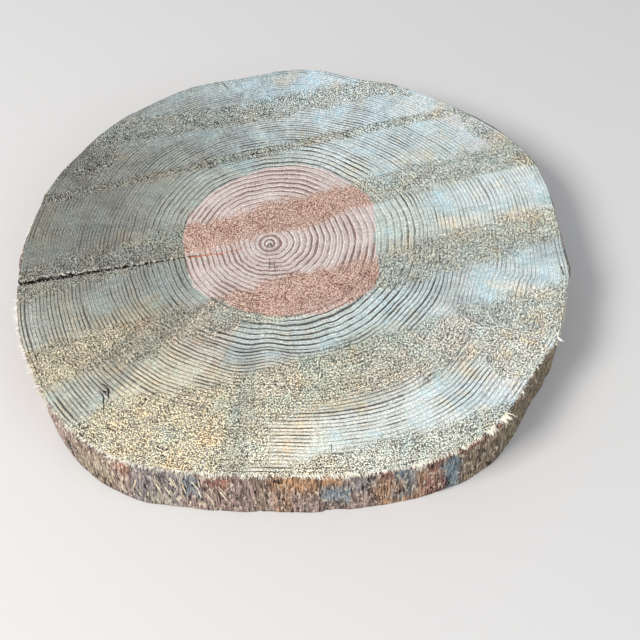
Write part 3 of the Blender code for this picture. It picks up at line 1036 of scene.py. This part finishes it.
def end_grain_material():
    """The sawn face: stained sapwood round a pink-brown heart, ring lines, and torn bands."""
    material, tree, shader, coordinates = new_material("sawn_end_grain", 0.86)
    growth = own_look(tree, "growth")
    broad = clouds(tree, coordinates, 70.0, 4.0, 0.65)
    torn = calculate(tree, "ADD", own_look(tree, "torn"), scaled(tree, broad, 1.1, -0.55))
    torn = between(tree, torn, 0.2, 0.8)
    edge = scaled(tree, clouds(tree, coordinates, 110.0, 3.0), 9.0, -4.5)
    in_heart = between(tree, calculate(tree, "ADD", own_look(tree, "heart"), edge), -0.6, 0.9)

    wood = ground_colour(tree, coordinates, torn, in_heart)
    rays, saw_marks = rays_and_saw_marks(tree, coordinates, growth)
    clean = calculate(tree, "SUBTRACT", 1.0, torn)
    wood = streaked(tree, wood, RAY_STRENGTH, rays)
    wood = streaked(tree, wood, times(tree, clean, SAW_MARK_STRENGTH), saw_marks)

    rings = use_effect(tree, growth_rings, {
        "Ring": growth, "Coordinates": coordinates, "Raggedness": scaled(tree, torn, 0.45, 0.10)})
    shows = times(tree, own_look(tree, "lines"), scaled(tree, torn, -0.50, 1.0))
    wood, pale = ring_lines(tree, wood, rings, shows, in_heart)
    grain = use_effect(tree, torn_grain, {"Coordinates": coordinates, "Cells": SPECKLE_CELLS})
    wood = speckled(tree, wood, pale, grain, rings["Latewood"], torn, in_heart)

    wood = blend(tree, cracks_inside(tree, coordinates, RESIN_LINE), wood, RESIN)
    above = add_node(tree, "SeparateXYZ", {0: coordinates}).outputs["Z"]
    # Painted shade inside the short cracks and insect marks
    cracks = times(tree, cracks_inside(tree, coordinates, FACE_CRACKS),
                   between(tree, above, 0.03, 0.04))
    tree.links.new(blend(tree, cracks, wood, CRACK_SHADE), shader.inputs["Base Color"])

    height = times(tree, grain["Height"], scaled(tree, torn, 0.9, 0.2))
    height = scaled(tree, times(tree, rings["Line"], shows), -0.6, height)
    height = scaled(tree, saw_marks, 0.15, height)
    height = scaled(tree, cracks, -1.5, height)
    raise_surface(tree, shader, height, FACE_RELIEF)
    return material


# The wall's dark streaks, pale flecks, and painted shade in its splits
WALL_DARK = tone(46, 36, 33)
WALL_LIGHT = tone(240, 224, 200)
WALL_SPLIT_SHADE = tone(26, 20, 18)


def bare_wall_material():
    """The wall: outer sapwood and scraps of inner bark, streaked up the grain."""
    material, tree, shader, coordinates = new_material("debarked_wall", 0.8)
    fibres = use_effect(tree, long_fibres, {"Coordinates": coordinates})
    streaks, fine = fibres["Streaks"], fibres["Fine"]
    wood = own_colour(tree, "stain")
    flecks = clouds(tree, stretched(tree, coordinates, (1.0, 1.0, 0.45)), 300.0, 3.0, 0.6)
    wood = blend(tree, 1.0, wood, grey_of(tree, scaled(tree, fine, 4.2, -1.45)), "MULTIPLY")
    wood = blend(tree, times(tree, between(tree, streaks, 0.45, 0.32), 0.55), wood, WALL_DARK)
    wood = blend(tree, times(tree, between(tree, flecks, 0.56, 0.64), 0.75), wood, WALL_LIGHT)
    wood = blend(tree, times(tree, between(tree, flecks, 0.36, 0.30), 0.7), wood, WALL_DARK)
    # Painted shade in the splits
    wood = blend(tree, fibres["Splits"], wood, WALL_SPLIT_SHADE)
    tree.links.new(wood, shader.inputs["Base Color"])
    height = scaled(tree, fine, 0.7, times(tree, streaks, 0.8))
    height = scaled(tree, flecks, 0.4, height)
    height = scaled(tree, fibres["Splits"], -0.8, height)
    raise_surface(tree, shader, height, 0.003)
    return material


def check_wall_material():
    """The walls of the drying check: split wood, painted nearly black for the shade deep in the
    gap.
    """
    material, tree, shader, coordinates = new_material("check_walls", 0.9)
    fibres = use_effect(tree, long_fibres, {"Coordinates": coordinates})
    # Painted shade: the split wood darkened nearly to black
    wood = blend(tree, fibres["Fine"], tone(14, 12, 11), tone(52, 44, 36))
    tree.links.new(wood, shader.inputs["Base Color"])
    raise_surface(tree, shader, fibres["Fine"], 0.002)
    return material


for finish in (end_grain_material(), bare_wall_material(), check_wall_material()):
    slab_mesh.materials.append(finish)
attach(slab, "root")
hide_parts("wood_cookie")


# The torn fibres
# Splinters of the slab's own wood, still held at their roots. The saw's teeth left a fringe
# round the sawn edge, fuzz on the back lip of the drying check and a nap on the torn bands,
# and the debarker left long hairs on the wall.

# The fringe: two bearings about the slab's middle, number of fibres, shortest and longest,
# width at the root, and how far they hang
FRINGE = (
    (172, 196, 40, 2.5, 5.0, 0.8, 0.3), (194, 214, 80, 3.0, 8.0, 0.9, 0.3),
    (212, 228, 90, 3.0, 9.0, 0.9, 0.4), (226, 238, 80, 3.0, 7.5, 1.3, 0.7),
    (237, 254, 150, 3.0, 7.0, 1.6, 1.2), (253, 262, 90, 3.0, 7.0, 1.8, 1.5),
    (261, 297, 340, 3.0, 7.0, 1.9, 1.6), (296, 313, 130, 3.0, 6.5, 1.6, 1.2),
    (312, 337, 110, 2.0, 5.0, 1.2, 0.7), (336, 352, 30, 1.5, 4.0, 0.8, 0.3),
    (0, 172, 120, 0.8, 2.2, 0.6, 0.2),
)

# Tufts where a bundle of fibres tore: bearing, half angle, number, length and width
TUFTS = (
    (313.5, 0.9, 22, 13.0, 2.0), (309.8, 0.8, 16, 11.0, 1.8), (303.6, 0.6, 8, 8.0, 1.6),
    (294.4, 0.9, 14, 9.0, 1.8), (281.0, 0.4, 7, 9.0, 1.6), (335.6, 0.08, 3, 12.0, 2.6),
    (320.0, 0.5, 5, 7.0, 1.4), (328.6, 0.3, 5, 6.5, 1.4), (249.8, 0.9, 12, 10.0, 1.2),
    (237.2, 0.4, 5, 11.0, 1.4),
    (196.6, 0.1, 2, 12.0, 0.8), (207.5, 0.8, 7, 9.0, 0.8), (218.6, 0.7, 8, 9.0, 0.8),
)

# Hairs on the wall, which hang down it: two bearings, two heights, number, shortest and
# longest, width, and how far they stand off
WALL_HAIRS = (
    (196, 236, 20, 64, 80, 2.0, 7.0, 0.9, 1.2), (235, 258, 14, 66, 44, 6.0, 24.0, 2.2, 0.10),
    (258, 302, 14, 64, 18, 3.0, 10.0, 1.3, 0.08), (302, 340, 20, 64, 12, 3.0, 8.0, 1.3, 0.08),
)

# Numbers of fibres on the check's back lip, and in the naps of the torn bands
CHECK_FUZZ = 120
NAP_PIECES = 4
NAP_FIBRES = 3200
NAP_BATCH = 150
HEART_NAP_FIBRES = 1500


def grow_fibre(bm, root, heading, length, width, droop):
    """Adds one three-sided splinter that bends and thins to its tip."""
    turned = heading.to_track_quat("Z", "Y")
    foot = bmesh.ops.create_circle(bm, segments=3, radius=width * MM / 2, cap_ends=True,
                                   matrix=Matrix.LocRotScale(root * MM, turned, None))["verts"]
    level = {edge for vert in foot for edge in vert.link_edges}
    place = root * MM
    for share, slimmer in ((0.55, 0.6), (0.45, 0.1)):
        raised = bmesh.ops.extrude_edge_only(bm, edges=list(level))["geom"]
        verts = [part for part in raised if isinstance(part, bmesh.types.BMVert)]
        level = {part for part in raised if isinstance(part, bmesh.types.BMEdge)
                 and all(vert in verts for vert in part.verts)}
        step = heading * length * share * MM
        bmesh.ops.translate(bm, verts=verts, vec=step)
        place = place + step
        bmesh.ops.scale(bm, verts=verts, vec=Vector((1, 1, 1)) * slimmer,
                        space=Matrix.Translation(-place))
        heading = (heading + droop).normalized()
    bmesh.ops.pointmerge(bm, verts=verts, merge_co=place)


def edge_fibre(dice, bearing, length, width, hang):
    """A fibre that grows from the sawn edge, outwards and down over the wall."""
    turn = math.radians(bearing)
    outward = Vector((math.cos(turn), math.sin(turn), 0.0))
    sideways = Vector((-math.sin(turn), math.cos(turn), 0.0))
    inside = dice.uniform(0.8, 2.2)
    root = outward * (float(round_curve(RIM, np.array([bearing]))[0]) - inside)
    root.z = (THICKNESS if in_front(root.x, root.y, LEDGE_BEARING) < LEDGE_IN_FRONT
              else FRONT_PASS_HEIGHT) - dice.uniform(0.2, 1.6)
    heading = outward + sideways * dice.uniform(-0.7, 0.7)
    heading.z = dice.uniform(-1.0, 0.3) * hang
    droop = Vector((0.0, 0.0, -dice.uniform(0.1, 0.7) * hang)) + sideways * dice.uniform(-0.3, 0.3)
    root += Vector(slab_shift)
    return root, heading.normalized(), length, width * dice.uniform(0.6, 1.2), droop


def wall_hair(dice, bearing, height, length, width, stands_off):
    """A fibre torn loose from the wall, which hangs down it and leans with the grain."""
    turn = math.radians(bearing)
    outward = Vector((math.cos(turn), math.sin(turn), 0.0))
    sideways = Vector((-math.sin(turn), math.cos(turn), 0.0))
    at = np.array([bearing])
    distance = round_curve(RIM, at) + foot_stands_out(at, height)
    root = outward * float((distance + wall_relief(at, np.array([height])))[0])
    root.z = height
    heading = outward * dice.uniform(0.5, 1.5) * stands_off + sideways * dice.uniform(-0.2, 0.6)
    heading.z = -dice.uniform(0.6, 1.0)
    return (root + Vector(slab_shift), heading.normalized(), length, width,
            sideways * dice.uniform(-0.2, 0.2) + outward * stands_off * dice.uniform(-0.4, 0.4))


def fringe_fibres(dice):
    for first, last, number, shortest, longest, width, hang in FRINGE:
        for _ in range(number):
            length = shortest + (longest - shortest) * dice.random() ** 2
            yield edge_fibre(dice, dice.uniform(first, last), length, width, hang)
    for bearing, half_angle, number, length, width in TUFTS:
        for _ in range(number):
            yield edge_fibre(dice, bearing + dice.uniform(-half_angle, half_angle),
                             length * dice.uniform(0.5, 1.0), width, 0.7)


def wall_hairs(dice):
    for first, last, low, high, number, shortest, longest, width, stands_off in WALL_HAIRS:
        for _ in range(number):
            height = dice.uniform(low, high)
            length = min(dice.uniform(shortest, longest), height - 4.0)
            yield wall_hair(dice, dice.uniform(first, last), height, length,
                            width * dice.uniform(0.5, 1.3), stands_off)


def check_fibres(dice):
    """Fuzz on the check's back lip, which leans over the gap."""
    turn = math.radians(CHECK_BEARING)
    length = float(LEFT_REACH[-1]) - CHECK_TIP
    outward_run = Vector((math.cos(turn), math.sin(turn), 0.0))
    back = Vector((math.sin(turn), -math.cos(turn), 0.0))
    for _ in range(CHECK_FUZZ):
        reach = CHECK_TIP + 14.0 + (length - 15.0) * dice.random() ** 0.8
        openness = (reach - CHECK_TIP) / length
        root = Vector((*PITH, 0.0)) + outward_run * reach
        lip = CHECK_MOUTH_HALF_WIDTH * openness**0.6
        root += back * (lip + dice.uniform(-0.6, 3.0 * openness))
        root.z = FRONT_PASS_HEIGHT - dice.uniform(0.2, 1.2)
        heading = outward_run * dice.uniform(-1, 1) - back * dice.uniform(-0.4, 1.4)
        heading.z = dice.uniform(0.1, 0.9)
        yield (root + Vector(slab_shift), heading.normalized(), dice.uniform(1.5, 4.5),
               dice.uniform(0.8, 1.6), Vector((0.0, 0.0, -dice.uniform(0.2, 0.9))))


def nap_roots(seed, wanted, in_heart):
    """Places on the torn wood of the sawn face, inside or outside the heart, in millimetres."""
    scatter = np.random.default_rng(seed)
    x, y = scatter.uniform(-310.0, 310.0, (2, wanted * 14))
    bearing = np.degrees(np.arctan2(y - PITH[1], x - PITH[0]))
    inside = round_curve(HEART_EDGE, bearing) - np.hypot(x - PITH[0], y - PITH[1])
    room = round_curve(RIM, np.degrees(np.arctan2(y, x))) - np.hypot(x, y)
    torn = torn_by_saw(x, y, SAW_BANDS, TORN_PATCHES)
    keep = (room > 2.0) & ((inside > 0.0) == in_heart)
    keep &= torn > scatter.uniform(0.15, 0.9, x.shape)
    x, y, torn = x[keep][:wanted], y[keep][:wanted], torn[keep][:wanted]
    return np.stack((x, y, saw_level(x, y, torn)), axis=-1) + slab_shift


def nap_batch(dice, roots):
    """Short splinters that stand up from their roots at every lean."""
    bm = bmesh.new()
    for root in roots:
        length, width = dice.uniform(0.8, 2.0), dice.uniform(0.5, 1.1)
        heading = Vector((dice.uniform(-0.8, 0.8), dice.uniform(-0.8, 0.8), 1.0)).normalized()
        middle = Vector(root) + heading * (length / 2 - 0.4)
        turned = heading.to_track_quat("Z", "Y")
        bmesh.ops.create_cone(bm, segments=3, radius1=width * MM / 2, radius2=0.0,
                              depth=length * MM, cap_ends=False,
                              matrix=Matrix.LocRotScale(middle * MM, turned, None))
    return bm


def nap_mesh(dice, roots):
    """The splinters from all the roots, made a batch at a time because that is quicker."""
    nap = bmesh.new()
    for start in range(0, len(roots), NAP_BATCH):
        batch = mesh_from(nap_batch(dice, roots[start:start + NAP_BATCH]), "nap_batch")
        nap.from_mesh(batch)
        bpy.data.meshes.remove(batch)
    return nap


def place_fibres(name, bm, finish):
    mesh = mesh_from(bm, name)
    mesh.materials.append(finish)
    fibres = show(name, mesh)
    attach(fibres, "root")


def fibre_material(name, pale, dull):
    """Loose fibres, which are paler than the wood they came from."""
    material, tree, shader, coordinates = new_material(name, 0.9)
    shade = between(tree, clouds(tree, coordinates, 190.0, 2.0), 0.35, 0.65)
    tree.links.new(blend(tree, shade, dull, pale), shader.inputs["Base Color"])
    return material


sapwood_fibre = fibre_material("torn_sapwood_fibre", tone(250, 247, 236), tone(226, 220, 202))
heart_fibre = fibre_material("torn_heart_fibre", tone(226, 200, 184), tone(190, 146, 126))
dice = random.Random(7)
bark_fibre = fibre_material("torn_wall_fibre", tone(232, 220, 196), tone(196, 178, 150))
for piece_name, growth, finish in (("edge_fringe", fringe_fibres, sapwood_fibre),
                                   ("check_fuzz", check_fibres, sapwood_fibre),
                                   ("wall_hairs", wall_hairs, bark_fibre)):
    piece = bmesh.new()
    for grown in growth(dice):
        grow_fibre(piece, *grown)
    bmesh.ops.recalc_face_normals(piece, faces=piece.faces[:])
    place_fibres(piece_name, piece, finish)
for count in range(NAP_PIECES):
    place_fibres(f"sapwood_nap_{count + 1}",
                 nap_mesh(dice, nap_roots(count, NAP_FIBRES, False)), sapwood_fibre)
place_fibres("heart_nap", nap_mesh(dice, nap_roots(90, HEART_NAP_FIBRES, True)), heart_fibre)


# The floor, the light and the camera
# A plain pale floor under soft studio light. The camera looks steeply down on the slab's
# front, from the photograph's place.

CAMERA_PLACE = (0.0287, -0.8443, 1.0504)
CAMERA_TILT = 37.0
CAMERA_LENS = 64.7
FLOOR_HALF_WIDTH = 6.0

floor_bm = bmesh.new()
bmesh.ops.create_grid(floor_bm, x_segments=1, y_segments=1, size=FLOOR_HALF_WIDTH)
floor = show("floor", mesh_from(floor_bm, "floor"))
floor_finish = bpy.data.materials.new("pale_floor")
floor_finish.use_nodes = True
floor_shader = floor_finish.node_tree.nodes["Principled BSDF"]
floor_shader.inputs["Base Color"].default_value = tone(206, 204, 202)
floor_shader.inputs["Roughness"].default_value = 0.9
floor.data.materials.append(floor_finish)


def soft_light(name, place, aim, width, power, colour):
    """A square studio light that faces a point."""
    lamp = bpy.data.lights.new(name, "AREA")
    lamp.shape = "SQUARE"
    lamp.size = width
    lamp.energy = power
    lamp.color = colour
    hung = show(name, lamp)
    hung.location = place
    hung.rotation_euler = (Vector(aim) - Vector(place)).to_track_quat("-Z", "Y").to_euler()


soft_light("key", (-2.2, -1.5, 2.7), (0, 0, 0), 1.4, 142.0, (1.0, 0.985, 0.965))
soft_light("fill", (1.8, -1.6, 2.2), (0, 0, 0), 2.0, 20.0, (0.94, 0.97, 1.0))
world = bpy.data.worlds.new("studio")
world.use_nodes = True
world.node_tree.nodes["Background"].inputs["Color"].default_value = (0.9, 0.94, 1.0, 1.0)
world.node_tree.nodes["Background"].inputs["Strength"].default_value = 0.52
bpy.context.scene.world = world
bpy.context.scene.view_settings.view_transform = "Standard"

camera_data = bpy.data.cameras.new("camera")
camera_data.lens = CAMERA_LENS
camera_data.sensor_width = 36.0
camera = show("camera", camera_data)
camera.location = CAMERA_PLACE
camera.rotation_euler = (math.radians(CAMERA_TILT), 0.0, 0.0)
bpy.context.scene.camera = camera
